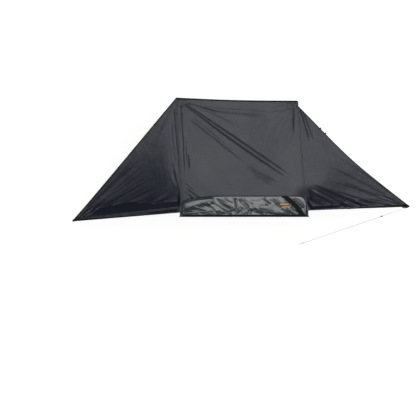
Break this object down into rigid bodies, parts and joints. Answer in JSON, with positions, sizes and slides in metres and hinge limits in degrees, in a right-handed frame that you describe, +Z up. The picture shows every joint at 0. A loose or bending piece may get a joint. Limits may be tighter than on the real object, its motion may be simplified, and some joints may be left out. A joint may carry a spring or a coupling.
{
  "type": "vehicle side awning",
  "caption": "Swing-out side awning for a vehicle rack: rail, hinged arms with fold-down legs, three-panel canopy, cover and guy rope.",
  "frame": {"origin": "centre of the rail's flat back face, the face bolted to the rack", "axes": "+X along the rail towards the vehicle's rear, +Y away from the vehicle, +Z up"},
  "size_m": [5.9321, 2.6141, 0.5711],
  "materials": {
    "anodised": "satin",
    "silver": "satin",
    "coated": "satin",
    "zinc": "satin",
    "moulded": "matte",
    "rubber": "matte",
    "canvas": "matte",
    "vinyl": "satin",
    "binding": "matte",
    "patch": "satin",
    "cord": "matte"
  },
  "bodies": {
    "rail": {"mounting_rail": "anodised", "rail_cap_left": "moulded", "rail_cap_right": "moulded", "hub_left": "coated", "hub_right": "coated", "left_end_pivot_bolt": "zinc", "left_mid_pivot_bolt": "zinc", "right_mid_pivot_bolt": "zinc", "right_end_pivot_bolt": "zinc", "canopy_centre": "canvas"},
    "cover": {"cover_flap": "vinyl"},
    "left_end_arm": {"left_end_knuckle": "coated", "left_end_arm": "anodised", "left_end_tip": "moulded", "left_end_leg_clip": "moulded"},
    "left_mid_arm": {"left_mid_knuckle": "coated", "left_mid_arm": "anodised", "left_mid_tip": "moulded", "left_mid_leg_clip": "moulded", "canopy_left": "canvas"},
    "right_mid_arm": {"right_mid_knuckle": "coated", "right_mid_arm": "anodised", "right_mid_tip": "moulded", "right_mid_leg_clip": "moulded", "canopy_right": "canvas"},
    "right_end_arm": {"right_end_knuckle": "coated", "right_end_arm": "anodised", "right_end_tip": "moulded", "right_end_leg_clip": "moulded", "guy_rope": "cord", "guy_slider": "moulded", "guy_hook": "zinc"},
    "left_end_leg": {"left_end_leg_knuckle": "moulded", "left_end_leg_outer": "anodised", "left_end_leg_collar": "moulded"},
    "left_end_leg_lower": {"left_end_leg_inner": "silver", "left_end_leg_foot": "rubber"},
    "left_end_lever": {"left_end_leg_lever": "moulded"},
    "left_mid_leg": {"left_mid_leg_knuckle": "moulded", "left_mid_leg_outer": "anodised", "left_mid_leg_collar": "moulded"},
    "left_mid_leg_lower": {"left_mid_leg_inner": "silver", "left_mid_leg_foot": "rubber"},
    "left_mid_lever": {"left_mid_leg_lever": "moulded"},
    "right_mid_leg": {"right_mid_leg_knuckle": "moulded", "right_mid_leg_outer": "anodised", "right_mid_leg_collar": "moulded"},
    "right_mid_leg_lower": {"right_mid_leg_inner": "silver", "right_mid_leg_foot": "rubber"},
    "right_mid_lever": {"right_mid_leg_lever": "moulded"},
    "right_end_leg": {"right_end_leg_knuckle": "moulded", "right_end_leg_outer": "anodised", "right_end_leg_collar": "moulded"},
    "right_end_leg_lower": {"right_end_leg_inner": "silver", "right_end_leg_foot": "rubber"},
    "right_end_lever": {"right_end_leg_lever": "moulded"}
  },
  "joints": [
    {"name": "left_end_swing", "type": "hinge", "parent": "rail", "child": "left_end_arm", "pos_m": [-1.1, 0.17, 0.022], "axis": [0, 0, -1], "range_deg": [0, 186.8]},
    {"name": "left_mid_swing", "type": "hinge", "parent": "rail", "child": "left_mid_arm", "pos_m": [-1.06, 0.09, 0.022], "axis": [0, 0, -1], "range_deg": [0, 93.8], "deforming": ["canopy_centre", "canopy_left", "canopy_right"]},
    {"name": "right_mid_swing", "type": "hinge", "parent": "rail", "child": "right_mid_arm", "pos_m": [1.06, 0.05, -0.032], "axis": [0, 0, 1], "range_deg": [0, 86.4]},
    {"name": "right_end_swing", "type": "hinge", "parent": "rail", "child": "right_end_arm", "pos_m": [1.1, 0.13, -0.032], "axis": [0, 0, 1], "range_deg": [0, 178]},
    {"name": "left_end_leg_fold", "type": "hinge", "parent": "left_end_arm", "child": "left_end_leg", "pos_m": [-2.98763, -0.05509, -0.0035], "axis": [-0.1184, 0.993, 0], "range_deg": [0, 90]},
    {"name": "left_end_leg_slide", "type": "slide", "parent": "left_end_leg", "child": "left_end_leg_lower", "axis": [0.993, 0.1184, 0], "range_m": [0, 0.62]},
    {"name": "left_end_lever_flip", "type": "hinge", "parent": "left_end_leg", "child": "left_end_lever", "pos_m": [-1.9367, 0.05271, -0.0035], "axis": [0, 0, 1], "range_deg": [0, 100]},
    {"name": "left_mid_leg_fold", "type": "hinge", "parent": "left_mid_arm", "child": "left_mid_leg", "pos_m": [-1.19063, 2.05667, -0.0035], "axis": [0.9978, 0.0663, 0], "range_deg": [0, 90]},
    {"name": "left_mid_leg_slide", "type": "slide", "parent": "left_mid_leg", "child": "left_mid_leg_lower", "axis": [0.0663, -0.9978, 0], "range_m": [0, 0.62]},
    {"name": "left_mid_lever_flip", "type": "hinge", "parent": "left_mid_leg", "child": "left_mid_lever", "pos_m": [-1.13798, 1.00154, -0.0035], "axis": [0, 0, 1], "range_deg": [0, 100]},
    {"name": "right_mid_leg_fold", "type": "hinge", "parent": "right_mid_arm", "child": "right_mid_leg", "pos_m": [0.93687, 2.00713, -0.0575], "axis": [0.998, 0.0628, 0], "range_deg": [0, 90]},
    {"name": "right_mid_leg_slide", "type": "slide", "parent": "right_mid_leg", "child": "right_mid_leg_lower", "axis": [0.0628, -0.998, 0], "range_m": [0, 0.62]},
    {"name": "right_mid_lever_flip", "type": "hinge", "parent": "right_mid_leg", "child": "right_mid_lever", "pos_m": [1.02056, 0.95401, -0.0575], "axis": [0, 0, -1], "range_deg": [0, 100]},
    {"name": "right_end_leg_fold", "type": "hinge", "parent": "right_end_arm", "child": "right_end_leg", "pos_m": [2.88691, 0.1924, -0.0575], "axis": [0.0349, -0.9994, 0], "range_deg": [0, 90]},
    {"name": "right_end_leg_slide", "type": "slide", "parent": "right_end_leg", "child": "right_end_leg_lower", "axis": [-0.9994, -0.0349, 0], "range_m": [0, 0.62]},
    {"name": "right_end_lever_flip", "type": "hinge", "parent": "right_end_leg", "child": "right_end_lever", "pos_m": [1.83186, 0.13815, -0.0575], "axis": [0, 0, -1], "range_deg": [0, 100]},
    {"name": "cover_fold", "type": "hinge", "parent": "rail", "child": "cover", "pos_m": [0, 0.0065, 0.0488], "axis": [1, 0, 0], "range_deg": [0, 110]}
  ],
  "couplings": [
    {"joint": "left_end_swing", "follows": "left_mid_swing", "ratio": 1.9915},
    {"joint": "right_mid_swing", "follows": "left_mid_swing", "ratio": 0.9211},
    {"joint": "right_end_swing", "follows": "left_mid_swing", "ratio": 1.8977}
  ]
}
